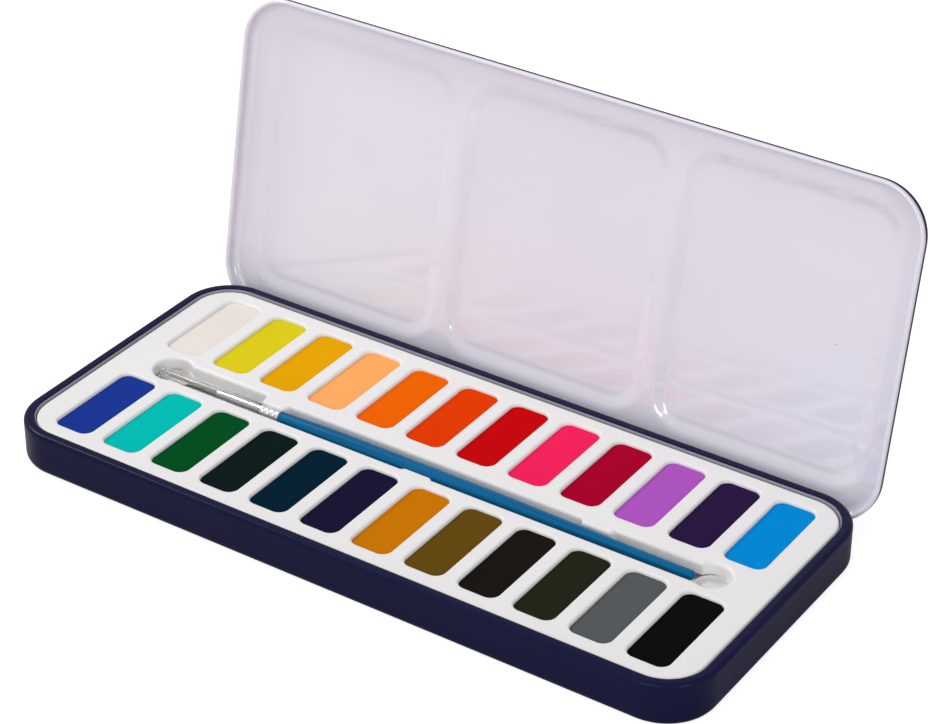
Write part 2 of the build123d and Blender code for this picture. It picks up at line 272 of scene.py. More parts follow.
def rounded_path(corners, steps=ARC_STEPS, support=SUPPORT, closed=False):
    """A path through corners (a, b, radius, tag), each corner rounded, as points (a, b, tag).

    A tag belongs to the stretch after its corner, and the second half of the corner's arc.
    """
    points = []
    count = len(corners)
    for index, (a, b, radius, tag) in enumerate(corners):
        here = Vector((a, b))
        first = index == 0 and not closed
        last = index == count - 1 and not closed
        if first or last or radius == 0:
            points.append((a, b, tag))
            continue
        before = corners[index - 1]
        after = corners[(index + 1) % count]
        inward = (Vector(before[:2]) - here).normalized()
        onward = (Vector(after[:2]) - here).normalized()
        half = inward.angle(onward) / 2
        reach = radius / math.tan(half)
        centre = here + (inward + onward).normalized() * (radius / math.sin(half))
        start = here + inward * reach - centre
        sweep = math.pi - 2 * half
        turn = 1 if inward.x * onward.y - inward.y * onward.x < 0 else -1
        if support:
            place = here + inward * (reach + support)
            points.append((place.x, place.y, before[3]))
        for step in range(steps + 1):
            angle = turn * sweep * step / steps
            arm = Vector((
                start.x * math.cos(angle) - start.y * math.sin(angle),
                start.x * math.sin(angle) + start.y * math.cos(angle)))
            point_tag = tag if step >= steps / 2 else before[3]
            points.append((centre.x + arm.x, centre.y + arm.y, point_tag))
        if support:
            place = here + onward * (reach + support)
            points.append((place.x, place.y, tag))
    return points


def loop_of(work, outline, z):
    """Vertices of a closed loop at one height."""
    return [work.verts.new((x, y, z)) for x, y in outline]


def bridge(work, first, second, tag=0):
    """Faces between two loops of equal count."""
    count = len(first)
    for index in range(count):
        following = (index + 1) % count
        face = work.faces.new((first[index], first[following], second[following], second[index]))
        face.material_index = tag


def sweep_rings(work, profile, length, width, radius, steps=CORNER_STEPS, place=(0, 0)):
    """Rings of a rounded rectangle drawn in by each profile point's inset, joined by faces."""
    rings = []
    for inset, z, tag in profile:
        outline = rounded_rectangle(length - 2 * inset, width - 2 * inset, radius - inset, steps)
        ring = loop_of(work, [(x + place[0], y + place[1]) for x, y in outline], z)
        if rings:
            bridge(work, rings[-1], ring, last_tag)
        rings.append(ring)
        last_tag = tag
    return rings


def ring_edges(work, ring):
    """The edges round a ring of vertices."""
    edges = []
    for index, vertex in enumerate(ring):
        following = ring[(index + 1) % len(ring)]
        edge = work.edges.get((vertex, following)) or work.edges.new((vertex, following))
        edges.append(edge)
    return edges


def fill_between(work, outer, holes, tag=0):
    """A flat face inside one ring, open where the other rings are."""
    edges = ring_edges(work, outer)
    for hole in holes:
        edges += ring_edges(work, hole)
    filled = bmesh.ops.triangle_fill(work, use_beauty=True, edges=edges)
    for item in filled["geom"]:
        if isinstance(item, bmesh.types.BMFace):
            item.material_index = tag


def cap(work, ring, tag=0):
    """One flat face inside a ring."""
    work.faces.new(ring).material_index = tag


def add_block(work, low, high):
    """A plain block between two corners."""
    made = bmesh.ops.create_cube(work, size=1.0)["verts"]
    scale = Vector(high) - Vector(low)
    middle = (Vector(high) + Vector(low)) / 2
    for vertex in made:
        vertex.co = Vector(v * s for v, s in zip(vertex.co, scale)) + middle


def pressed_pan(
        height, end_r, inner_r, fold_r, fold_w, fold_drop, fold_edge_r, tags, wrap=0,
        support=SUPPORT):
    """Profile of a pan, floor down, whose wall folds inward and down round the mouth.

    The tags are for the outside, the rim, the fold's inner face and the inside. The rim's
    finish may wrap down the outside.
    """
    outside, rim, fold, inside = tags
    floor_inset = max(end_r, inner_r + SHEET) + 2 * SUPPORT
    corners = [
        (floor_inset, 0, 0, outside),
        (0, 0, end_r, outside),
        (0, height - wrap, 0, rim),
        (0, height, fold_r, rim),
        (fold_w, height, fold_edge_r, fold),
        (fold_w, height - fold_drop, 0, fold),
        (fold_w - SHEET, height - fold_drop, 0, inside),
        (fold_w - SHEET, height - SHEET, fold_edge_r - SHEET, inside),
        (SHEET, height - SHEET, fold_r - SHEET, inside),
        (SHEET, SHEET, inner_r, inside),
        (floor_inset, SHEET, 0, inside),
    ]
    if not wrap:
        del corners[2]
    return rounded_path(corners, support=support)


def cut_windows(piece):
    """Open the two rounded windows in the back wall that the hinge tongues pass through."""
    work = bmesh.new()
    height = WINDOW_HIGH_Z - WINDOW_LOW_Z
    middle_z = (WINDOW_HIGH_Z + WINDOW_LOW_Z) / 2
    outline = rounded_rectangle(WINDOW_W, height, WINDOW_R, WELL_STEPS)
    for side in (-1, 1):
        rings = []
        for y in (BASE.y / 2 - CUTTER_REACH, BASE.y / 2 + CUTTER_REACH):
            rings.append([
                work.verts.new((side * HINGE_X + x, y, middle_z + z)) for x, z in outline])
            work.faces.new(rings[-1])
        bridge(work, *rings)
    cutter = finished("window_cutter", work)
    cut = piece.modifiers.new("windows", "BOOLEAN")
    cut.operation = "DIFFERENCE"
    cut.solver = "EXACT"
    cut.object = cutter
    bake(piece)
    bpy.data.objects.remove(cutter)


def bake(piece):
    """Turn a piece's modifiers into its own plain mesh."""
    graph = bpy.context.evaluated_depsgraph_get()
    mesh = bpy.data.meshes.new_from_object(piece.evaluated_get(graph))
    piece.modifiers.clear()
    piece.data = mesh
    mesh.set_sharp_from_angle(angle=SHARP_ANGLE)


def make_base_tin():
    """The lower tin."""
    work = bmesh.new()
    profile = pressed_pan(
        RIM_Z, BOTTOM_R, BOTTOM_R - SHEET, SHOULDER_R, HEM_W, HEM_DROP, HEM_EDGE_R,
        tags=(0, 0, 1, 1))
    rings = sweep_rings(work, profile, BASE.x, BASE.y, CORNER_R)
    cap(work, rings[0], 0)
    cap(work, rings[-1], 1)
    # The inside faces take a grey that paints the shade on the lower tin's inner wall
    piece = finished("base_tin_shell", work, navy_enamel(), inner_painted_shade())
    cut_windows(piece)
    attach(piece, "base")
    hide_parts("base_tin")


def dish_profile(z, grow, tag):
    """Profile of one dish's soft flank, from the border at z away from the mouth."""
    points = []
    for step in range(FLANK_STEPS + 1):
        share = step / FLANK_STEPS
        points.append((FLANK_W * share - grow, z - eased(0, DIVIDER_RISE, share), tag))
    return points


def make_lid_tin():
    """The lid with its rim, border and mixing dishes, drawn closed and turned open."""
    work = bmesh.new()
    profile = pressed_pan(
        LID_H, LID_TOP_R, LID_INNER_R, LID_RIM_EDGE_R, LID_RIM_W, LID_RIM_RETURN, LID_RIM_EDGE_R,
        tags=(0, 1, 1, 1), wrap=LID_WRAP, support=LID_RIM_SUPPORT)
    rings = sweep_rings(work, profile, LID_L, LID_W, LID_R)
    field_l = LID_L - 2 * (SHEET + DISH_BORDER)
    dish_w = LID_W - 2 * (SHEET + DISH_BORDER)
    dish_l = (field_l - (DISHES - 1) * DIVIDER_W) / DISHES
    for ring, z, grow, tag in ((rings[0], 0, SHEET, 0), (rings[-1], SHEET, 0, 1)):
        holes = []
        for index in range(DISHES):
            x = (index - (DISHES - 1) / 2) * (dish_l + DIVIDER_W)
            flank = dish_profile(z, grow, tag)
            dish = sweep_rings(
                work, flank, dish_l, dish_w, DISH_CORNER_R, steps=DISH_STEPS, place=(x, 0))
            cap(work, dish[-1], tag)
            holes.append(dish[0])
        fill_between(work, ring, holes, tag)
    closed = Matrix.Translation((0, 0, RIM_Z + LID_GAP + LID_H)) @ Matrix.Rotation(math.pi, 4, "X")
    piece = finished(
        "lid_tin_shell", work, navy_enamel(), white_enamel(), place=opened_turn() @ closed)
    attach(piece, "lid")
    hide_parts("lid_tin")


def opened_turn():
    """The turn about the hinge from closed to the open rest position."""
    to_pivot = Matrix.Translation(PIVOT)
    return to_pivot @ Matrix.Rotation(-OPEN_ANGLE, 4, "X") @ to_pivot.inverted()


def well_places():
    """Centre and size of each well, from the cakes that lie in them."""
    wells = []
    for colour in CAKE_COLOURS:
        low, high = span("paint_" + colour)
        wells.append(((low + high) / 2, high - low, low.z))
    return wells


def arc_points(place, start, end, steps=WELL_STEPS * 3):
    """Corners of a round recess's edge from one angle to another, in degrees."""
    x, y, radius = place
    points = []
    for step in range(steps + 1):
        turn = math.radians(start + (end - start) * step / steps)
        points.append((x + radius * math.cos(turn), y + radius * math.sin(turn), 0, 0))
    return points


def channel_outline():
    """The brush channel's edge from above, with its round recesses and nubs."""
    corners = []
    corners += recess_edge(LEFT_RECESS, CHANNEL_WIDE_BACK_Y, 1)
    low_x, high_x, tip_y = NUB_FRONT
    corners += nub_edge(low_x, high_x, CHANNEL_FRONT_Y, CHANNEL_FRONT_Y, tip_y)
    corners += recess_edge(RIGHT_RECESS, CHANNEL_BACK_Y, -1)
    for (low_x, high_x, tip_y), far_y in (
            (NUB_BACK_RIGHT, CHANNEL_BACK_Y), (NUB_BACK_LEFT, CHANNEL_WIDE_BACK_Y)):
        corners += nub_edge(high_x, low_x, CHANNEL_BACK_Y, far_y, tip_y)
    return [(x, y) for x, y, _ in rounded_path(corners, support=0, closed=True)]


def recess_edge(place, back_y, side):
    """A recess's arc between the channel's back and front edges; side is 1 at the left end."""
    _, y, radius = place
    back = math.degrees(math.asin((back_y - y) / radius))
    front = math.degrees(math.asin((CHANNEL_FRONT_Y - y) / radius))
    if side > 0:
        return arc_points(place, back, 360 + front)
    return arc_points(place, 180 - front - 360, 180 - back)


def nub_edge(start_x, end_x, start_y, end_y, tip_y):
    """The four corners of one nub that juts into the channel."""
    slant = math.copysign(NUB_SLANT / 2, end_x - start_x)
    return [
        (start_x - slant, start_y, NUB_FOOT_R, 0),
        (start_x + slant, tip_y, NUB_R, 0),
        (end_x - slant, tip_y, NUB_R, 0),
        (end_x + slant, end_y, NUB_FOOT_R, 0),
    ]


def outset(outline, distance):
    """An outline moved outward from itself, corner by corner."""
    moved = []
    count = len(outline)
    for index, (x, y) in enumerate(outline):
        before = Vector(outline[index - 1])
        after = Vector(outline[(index + 1) % count])
        along = (after - before).normalized()
        moved.append((x + along.y * distance, y - along.x * distance))
    return moved


def make_paint_tray():
    """The moulded tray with its wells, brush channel and finger recesses."""
    work = bmesh.new()
    plate_z = TRAY_TOP_Z - TRAY_PLATE_T
    radius = CORNER_R - (BASE.x - TRAY.x) / 2
    edge = rounded_path([
        (TRAY_EDGE_R + 2 * SUPPORT, TRAY_TOP_Z, 0, 0),
        (0, TRAY_TOP_Z, TRAY_EDGE_R, 0),
        (0, TRAY_TOP_Z - TRAY_LIP_H, 0, 0),
        (TRAY_WALL, TRAY_TOP_Z - TRAY_LIP_H, 0, 0),
        (TRAY_WALL, plate_z, 0, 0),
    ])
    rings = sweep_rings(work, edge, TRAY.x, TRAY.y, radius)
    mouths = []
    boxes = []
    for centre, cake, floor_z in well_places():
        length, width = cake.x + 2 * CAKE_GAP, cake.y + 2 * CAKE_GAP
        place = (centre.x, centre.y)
        inside = rounded_path([
            (-WELL_EDGE_R - SUPPORT, TRAY_TOP_Z, 0, 0),
            (0, TRAY_TOP_Z, WELL_EDGE_R, 0),
            (0, floor_z, 0, 0),
        ])
        well = sweep_rings(work, inside, length, width, WELL_R, WELL_STEPS, place)
        cap(work, well[-1])
        mouths.append(well[0])
        outside = [(-TRAY_WALL, plate_z, 0), (-TRAY_WALL, floor_z - TRAY_WALL, 0)]
        box = sweep_rings(work, outside, length, width, WELL_R, WELL_STEPS, place)
        cap(work, box[-1])
        boxes.append(box[0])
    mouths.append(add_channel(work))
    boxes.append(add_channel_underside(work, plate_z))
    fill_between(work, rings[0], mouths)
    fill_between(work, rings[-1], boxes)
    add_ribs(work)
    piece = finished("paint_tray_moulding", work, tray_plastic())
    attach(piece, "tray")
    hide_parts("paint_tray")


def add_channel(work):
    """The channel's softened edge, wall and floor, and the deeper recesses; returns its mouth."""
    outline = channel_outline()
    floor_z = TRAY_TOP_Z - CHANNEL_DEPTH
    rings = []
    for inset, z, _ in rounded_path([
            (-CHANNEL_EDGE_R - SUPPORT, TRAY_TOP_Z, 0, 0),
            (0, TRAY_TOP_Z, CHANNEL_EDGE_R, 0),
            (0, floor_z, 0, 0)]):
        rings.append(loop_of(work, outset(outline, -inset), z))
        if len(rings) > 1:
            bridge(work, rings[-2], rings[-1])
    recesses = []
    for x, y, radius in (LEFT_RECESS, RIGHT_RECESS):
        size_now = 2 * (radius - RECESS_LEDGE)
        wall = [(0, floor_z, 0), (0, TRAY_TOP_Z - RECESS_DEPTH, 0)]
        recess = sweep_rings(work, wall, size_now, size_now, size_now / 2, WELL_STEPS, (x, y))
        cap(work, recess[-1])
        recesses.append(recess[0])
    fill_between(work, rings[-1], recesses)
    return rings[0]


def add_channel_underside(work, plate_z):
    """The outside of the channel below the plate; returns where it meets the plate."""
    low_x = LEFT_RECESS[0] - LEFT_RECESS[2] - TRAY_WALL
    high_x = RIGHT_RECESS[0] + RIGHT_RECESS[2] + TRAY_WALL
    length = high_x - low_x
    width = 2 * (LEFT_RECESS[2] + TRAY_WALL)
    wall = [(0, plate_z, 0), (0, TRAY_TOP_Z - RECESS_DEPTH - TRAY_WALL, 0)]
    place = ((low_x + high_x) / 2, 0)
    rings = sweep_rings(work, wall, length, width, width / 2, WELL_STEPS, place)
    cap(work, rings[-1])
    return rings[0]


def add_ribs(work):
    """The long ribs that the tray stands on."""
    wells = well_places()
    reach = max(centre.x + cake.x / 2 for centre, cake, _ in wells)
    high_z = wells[0][2] - TRAY_WALL / 2
    for row_y in sorted({round(centre.y, 3) for centre, _, _ in wells}):
        for side in (-1, 1):
            y = row_y + side * RIB_SPREAD / 2
            add_block(work, (-reach, y - RIB_T / 2, TRAY_LOW_Z), (reach, y + RIB_T / 2, high_z))


def turned(name, profile, *materials):
    """A round piece of the brush from its profile of (x, radius, tag), closed at its axis."""
    work = bmesh.new()
    rings = []
    for x, radius, tag in profile:
        ring = []
        for step in range(TURN_STEPS):
            turn = 2 * math.pi * step / TURN_STEPS
            ring.append(work.verts.new(
                (x, BRUSH_Y + radius * math.cos(turn), BRUSH_Z + radius * math.sin(turn))))
        if rings:
            bridge(work, rings[-1], ring, last_tag)
        rings.append(ring)
        last_tag = tag
    for ring, (_, radius, tag) in ((rings[0], profile[0]), (rings[-1], profile[-1])):
        if radius <= POLE_R:
            cap(work, ring, tag)
    piece = finished(name, work, *materials)
    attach(piece, "brush")
    return piece


def eased(start, end, share):
    """A value that leaves start and meets end without a corner."""
    return start + (end - start) * (3 - 2 * share) * share * share


def make_brush_handle():
    """The lacquered handle, fullest near its front and drawn in to a round tail."""
    rise_x, fall_x = HANDLE_BELLY
    tail_x = HANDLE_END_X - HANDLE_TAIL_R
    profile = [(HANDLE_START_X, POLE_R, 0), (HANDLE_START_X, HANDLE_NECK_R - HANDLE_FRONT_R, 0)]
    for step in range(HANDLE_STEPS + 1):
        share = step / HANDLE_STEPS
        x = HANDLE_START_X + HANDLE_FRONT_R + (rise_x - HANDLE_START_X) * share
        profile.append((x, eased(HANDLE_NECK_R, HANDLE_R, share), 0))
    for step in range(HANDLE_STEPS + 1):
        share = step / HANDLE_STEPS
        profile.append((
            fall_x + (tail_x - fall_x) * share, eased(HANDLE_R, HANDLE_TAIL_R, share), 0))
    for step in range(1, ARC_STEPS * 2 + 1):
        turn = math.pi / 2 * step / (ARC_STEPS * 2)
        radius = max(HANDLE_TAIL_R * math.cos(turn), POLE_R)
        profile.append((tail_x + HANDLE_TAIL_R * math.sin(turn), radius, 0))
    piece = turned("brush_handle_lacquered", profile, handle_lacquer())
    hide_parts("brush_handle")


def make_brush_ferrule():
    """The bright ferrule with its rolled crimps."""
    corners = [(HANDLE_START_X, POLE_R, 0, 0), (HANDLE_START_X, FERRULE_R, 0.1, 0)]
    for x in CRIMP_X:
        corners += [
            (x + CRIMP_HALF_W, FERRULE_R, 0.12, 0),
            (x, FERRULE_R - CRIMP_DEPTH, 0.3, 0),
            (x - CRIMP_HALF_W, FERRULE_R, 0.12, 0),
        ]
    corners += [
        (FERRULE_STEP_X, FERRULE_R, 0.1, 0),
        (FERRULE_STEP_X, FERRULE_NECK_R, 0.1, 0),
        (FERRULE_TAPER_X, FERRULE_NECK_R, 2.0, 0),
        (FERRULE_NOSE_X, FERRULE_NOSE_R, 0.05, 0),
        (FERRULE_NOSE_X, FERRULE_BORE_R, 0, 0),
        (FERRULE_TAPER_X, FERRULE_BORE_R, 0, 0),
        (FERRULE_TAPER_X, POLE_R, 0, 0),
    ]
    piece = turned("brush_ferrule_crimped", rounded_path(corners, support=0), ferrule_metal())
    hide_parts("brush_ferrule")


def make_brush_cap():
    """The clear tube over the bristles."""
    bore = FERRULE_NECK_R + CAP_CLEARANCE
    start = FERRULE_STEP_X - CAP_CLEARANCE
    corners = [
        (start, bore, 0.05, 0), (start, bore + CAP_WALL, 0.1, 0),
        (CAP_TIP_X, bore + CAP_WALL, 0.1, 0), (CAP_TIP_X, bore, 0.05, 0),
    ]
    profile = rounded_path(corners, support=0, closed=True)
    piece = turned("brush_cap_tube", profile + profile[:1], cap_plastic())
    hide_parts("brush_cap")


def bristle_tree():
    """A node tree that stands tapered strands on a round root, drawn in to a point."""
    tree = bpy.data.node_groups.new("bristle_tuft", "GeometryNodeTree")
    inputs = (
        ("Count", "NodeSocketInt"), ("Seed", "NodeSocketInt"), ("Root Radius", "NodeSocketFloat"),
        ("Tip Radius", "NodeSocketFloat"), ("Length", "NodeSocketFloat"),
        ("Ragged", "NodeSocketFloat"), ("Strand Radius", "NodeSocketFloat"),
        ("Strand Tip Radius", "NodeSocketFloat"), ("Sides", "NodeSocketInt"),
        ("Root", "NodeSocketVector"), ("Material", "NodeSocketMaterial"))
    for name, kind in inputs:
        tree.interface.new_socket(name, in_out="INPUT", socket_type=kind)
    tree.interface.new_socket("Geometry", in_out="OUTPUT", socket_type="NodeSocketGeometry")
    link = tree.links.new
    given = tree.nodes.new("NodeGroupInput").outputs
    result = tree.nodes.new("NodeGroupOutput")
    index = tree.nodes.new("GeometryNodeInputIndex").outputs[0]
    spot = joined(tree, "ADD", index, 0.5)
    share = joined(tree, "SQRT", joined(tree, "DIVIDE", spot, given["Count"]))
    turn = joined(tree, "MULTIPLY", index, GOLDEN_TURN)
    rim = []
    for radius, x in ((given["Root Radius"], 0.0), (given["Tip Radius"], None)):
        reach = joined(tree, "MULTIPLY", share, radius)
        ring = tree.nodes.new("ShaderNodeCombineXYZ")
        link(joined(tree, "MULTIPLY", reach, joined(tree, "COSINE", turn)), ring.inputs["Y"])
        link(joined(tree, "MULTIPLY", reach, joined(tree, "SINE", turn)), ring.inputs["Z"])
        if x is None:
            link(joined(tree, "MULTIPLY", given["Length"], -1.0), ring.inputs["X"])
        rim.append(ring.outputs[0])
    placed = add_node(tree, "ShaderNodeVectorMath", operation="ADD")
    link(rim[0], placed.inputs[0])
    link(given["Root"], placed.inputs[1])
    along = add_node(tree, "ShaderNodeVectorMath", operation="SUBTRACT")
    link(rim[1], along.inputs[0])
    link(rim[0], along.inputs[1])
    facing = add_node(tree, "FunctionNodeAlignRotationToVector", axis="Z")
    link(along.outputs[0], facing.inputs["Vector"])
    uneven = add_node(tree, "FunctionNodeRandomValue", data_type="FLOAT")
    link(joined(tree, "SUBTRACT", 1.0, given["Ragged"]), uneven.inputs[2])
    uneven.inputs[3].default_value = 1.0
    link(given["Seed"], uneven.inputs["Seed"])
    stretch = add_node(tree, "ShaderNodeCombineXYZ", {"X": 1.0, "Y": 1.0})
    link(uneven.outputs[1], stretch.inputs["Z"])
    strand = add_node(tree, "GeometryNodeMeshCone", fill_type="NGON")
    link(given["Sides"], strand.inputs["Vertices"])
    link(given["Strand Tip Radius"], strand.inputs["Radius Top"])
    link(given["Strand Radius"], strand.inputs["Radius Bottom"])
    link(given["Length"], strand.inputs["Depth"])
    roots = tree.nodes.new("GeometryNodePoints")
    link(given["Count"], roots.inputs["Count"])
    link(placed.outputs[0], roots.inputs["Position"])
    tuft = tree.nodes.new("GeometryNodeInstanceOnPoints")
    link(roots.outputs[0], tuft.inputs["Points"])
    link(strand.outputs["Mesh"], tuft.inputs["Instance"])
    link(facing.outputs[0], tuft.inputs["Rotation"])
    link(stretch.outputs[0], tuft.inputs["Scale"])
    real = tree.nodes.new("GeometryNodeRealizeInstances")
    link(tuft.outputs[0], real.inputs[0])
    coloured = tree.nodes.new("GeometryNodeSetMaterial")
    link(real.outputs[0], coloured.inputs["Geometry"])
    link(given["Material"], coloured.inputs["Material"])
    link(coloured.outputs[0], result.inputs[0])
    return tree


def joined(tree, operation, first, second=None):
    """The result of one sum on two values, each a socket or a number."""
    node = add_node(tree, "ShaderNodeMath", operation=operation)
    for socket, value in zip(node.inputs, (first, second)):
        if isinstance(value, (int, float)):
            socket.default_value = value
        elif value is not None:
            tree.links.new(value, socket)
    return node.outputs[0]


def make_brush_bristles():
    """The tuft of separate tapered strands, from inside the ferrule to the tip."""
    tree = bristle_tree()
    tip_x = span("brush_bristles")[0].x
    length = (BRISTLE_ROOT_X - tip_x) * MM
    values = {
        "Count": BRISTLES, "Seed": BRISTLE_SEED, "Root Radius": TUFT_R * MM,
        "Tip Radius": TUFT_TIP_R * MM, "Length": length, "Ragged": TUFT_RAGGED,
        "Strand Radius": BRISTLE_R * MM, "Strand Tip Radius": BRISTLE_TIP_R * MM,
        "Sides": BRISTLE_SIDES, "Root": (BRISTLE_ROOT_X * MM, BRUSH_Y * MM, BRUSH_Z * MM),
        "Material": bristle_hair(),
    }
    piece = mesh_object("brush_tuft", bpy.data.meshes.new("brush_tuft"), bristle_hair())
    grown = piece.modifiers.new("tuft", "NODES")
    grown.node_group = tree
    for item in tree.interface.items_tree:
        if item.in_out == "INPUT":
            grown[item.identifier] = values[item.name]
    bake(piece)
    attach(piece, "brush")
    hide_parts("brush_bristles")


def add_node(tree, kind, values=None, **properties):
    """A node with its properties and plain socket values set."""
    node = tree.nodes.new(kind)
    for name, value in properties.items():
        setattr(node, name, value)
    for socket, value in (values or {}).items():
        node.inputs[socket].default_value = value
    return node


def material_of(name, **values):
    """A material with one Principled shader, its constants set on the shader itself."""
    material = bpy.data.materials.new(name)
    material.use_nodes = True
    tree = material.node_tree
    shader = tree.nodes["Principled BSDF"]
    for socket, value in values.items():
        shader.inputs[socket.replace("_", " ")].default_value = value
    return material, tree, shader


def group_sockets(tree, inputs, outputs):
    """Named sockets of a shader group, with defaults for its inputs."""
    for name, kind, value in inputs:
        socket = tree.interface.new_socket(name, in_out="INPUT", socket_type=kind)
        socket.default_value = value
    for name, kind in outputs:
        tree.interface.new_socket(name, in_out="OUTPUT", socket_type=kind)


@cache
def coated_sheet_group():
    """Slow drift in a colour, faint waves of sprayed enamel and a few specks of dust."""
    tree = bpy.data.node_groups.new("coated_sheet", "ShaderNodeTree")
    group_sockets(
        tree,
        [("Colour", "NodeSocketColor", (1, 1, 1, 1)),
         ("Dust Colour", "NodeSocketColor", (1, 1, 1, 1)),
         ("Drift", "NodeSocketFloat", 0.05),
         ("Dust", "NodeSocketFloat", 0.03),
         ("Roughness", "NodeSocketFloat", 0.25)],
        [("Colour", "NodeSocketColor"), ("Roughness", "NodeSocketFloat"),
         ("Height", "NodeSocketFloat")])
    link = tree.links.new
    given = tree.nodes.new("NodeGroupInput")
    result = tree.nodes.new("NodeGroupOutput")
    place = tree.nodes.new("ShaderNodeTexCoord").outputs["Object"]
    slow = add_node(tree, "ShaderNodeTexNoise", {"Scale": 28, "Detail": 3})
    waves = add_node(tree, "ShaderNodeTexNoise", {"Scale": 420, "Detail": 1, "Roughness": 0.3})
    specks = add_node(tree, "ShaderNodeTexVoronoi", {"Scale": 260})
    for texture in (slow, waves, specks):
        link(place, texture.inputs["Vector"])
    centred = add_node(tree, "ShaderNodeMath", {1: 0.5}, operation="SUBTRACT")
    link(slow.outputs["Fac"], centred.inputs[0])
    drifted = add_node(tree, "ShaderNodeMath", {2: 1.0}, operation="MULTIPLY_ADD")
    link(centred.outputs[0], drifted.inputs[0])
    link(given.outputs["Drift"], drifted.inputs[1])
    tinted = add_node(tree, "ShaderNodeHueSaturation")
    link(drifted.outputs[0], tinted.inputs["Value"])
    link(given.outputs["Colour"], tinted.inputs["Color"])
    near = add_node(tree, "ShaderNodeMath", {1: 0.045}, operation="LESS_THAN")
    link(specks.outputs["Distance"], near.inputs[0])
    chosen = add_node(tree, "ShaderNodeSeparateColor")
    link(specks.outputs["Color"], chosen.inputs[0])
    rare = add_node(tree, "ShaderNodeMath", operation="LESS_THAN")
    link(chosen.outputs[0], rare.inputs[0])
    link(given.outputs["Dust"], rare.inputs[1])
    dusty = add_node(tree, "ShaderNodeMath", operation="MULTIPLY")
    link(near.outputs[0], dusty.inputs[0])
    link(rare.outputs[0], dusty.inputs[1])
    mixed = add_node(tree, "ShaderNodeMix", data_type="RGBA")
    link(dusty.outputs[0], mixed.inputs["Factor"])
    link(tinted.outputs[0], mixed.inputs[6])
    link(given.outputs["Dust Colour"], mixed.inputs[7])
    rougher = add_node(tree, "ShaderNodeMath", {1: 0.12}, operation="MULTIPLY_ADD")
    link(centred.outputs[0], rougher.inputs[0])
    link(given.outputs["Roughness"], rougher.inputs[2])
    link(mixed.outputs[2], result.inputs["Colour"])
    link(rougher.outputs[0], result.inputs["Roughness"])
    link(waves.outputs["Fac"], result.inputs["Height"])
    return tree


def coated(name, colour, dust_colour, roughness, drift, dust, bump_mm, **values):
    """A material finished with the coated sheet group at its own values."""
    material, tree, shader = material_of(name, **values)
    group = add_node(tree, "ShaderNodeGroup", node_tree=coated_sheet_group())
    group.inputs["Colour"].default_value = linear(colour)
    group.inputs["Dust Colour"].default_value = linear(dust_colour)
    group.inputs["Roughness"].default_value = roughness
    group.inputs["Drift"].default_value = drift
    group.inputs["Dust"].default_value = dust
    bump = add_node(tree, "ShaderNodeBump", {"Strength": 1.0, "Distance": bump_mm * MM})
    link = tree.links.new
    link(group.outputs["Colour"], shader.inputs["Base Color"])
    link(group.outputs["Roughness"], shader.inputs["Roughness"])
    link(group.outputs["Height"], bump.inputs["Height"])
    link(bump.outputs["Normal"], shader.inputs["Normal"])
    return material


@cache
def navy_enamel():
    """Deep navy gloss on the outside of both tins."""
    return coated(
        "navy_enamel", NAVY, "6A6A86", roughness=0.28, drift=0.25, dust=0.05, bump_mm=0.004,
        Specular_IOR_Level=0.1)


@cache
def white_enamel():
    """Glossy white on the inside of the lid."""
    return coated(
        "white_enamel", LID_WHITE, "8C8894", roughness=0.06, drift=0.05, dust=0.02, bump_mm=0.004,
        Specular_IOR_Level=0.9)


@cache
def inner_painted_shade():
    """A duller grey on the inside of the lower tin: painted shade for the shadow on its inner wall
    below the rim.
    """
    return coated(
        "inner_painted_shade", INNER_SHADE_GREY, "5E5C62", roughness=0.35, drift=0.08, dust=0.03, bump_mm=0.003)


@cache
def tray_plastic():
    """Off-white moulded plastic with a fine satin skin."""
    return coated(
        "tray_plastic", TRAY_WHITE, "B9B6B8", roughness=0.42, drift=0.03, dust=0.03, bump_mm=0.004,
        Specular_IOR_Level=0.35)


@cache
def handle_lacquer():
    """Blue lacquer over turned wood, with faint drawn-out streaks along the handle."""
    material, tree, shader = material_of(
        "handle_lacquer", Specular_IOR_Level=0.1, Coat_Weight=0.05, Coat_Roughness=0.1)
    link = tree.links.new
    place = tree.nodes.new("ShaderNodeTexCoord").outputs["Object"]
    stretch = add_node(tree, "ShaderNodeMapping", {"Scale": (12, 900, 900)})
    link(place, stretch.inputs["Vector"])
    streaks = add_node(tree, "ShaderNodeTexNoise", {"Scale": 1.0, "Detail": 2})
    link(stretch.outputs[0], streaks.inputs["Vector"])
    ramp = add_node(tree, "ShaderNodeValToRGB")
    ramp.color_ramp.elements[0].color = linear(HANDLE_SHADE)
    ramp.color_ramp.elements[1].color = linear(HANDLE_BLUE)
    ramp.color_ramp.elements[0].position = 0.35
    ramp.color_ramp.elements[1].position = 0.6
    link(streaks.outputs["Fac"], ramp.inputs["Fac"])
    link(ramp.outputs[0], shader.inputs["Base Color"])
    rough = add_node(tree, "ShaderNodeMapRange", {"To Min": 0.22, "To Max": 0.34})
    link(streaks.outputs["Fac"], rough.inputs["Value"])
    link(rough.outputs[0], shader.inputs["Roughness"])
    return material


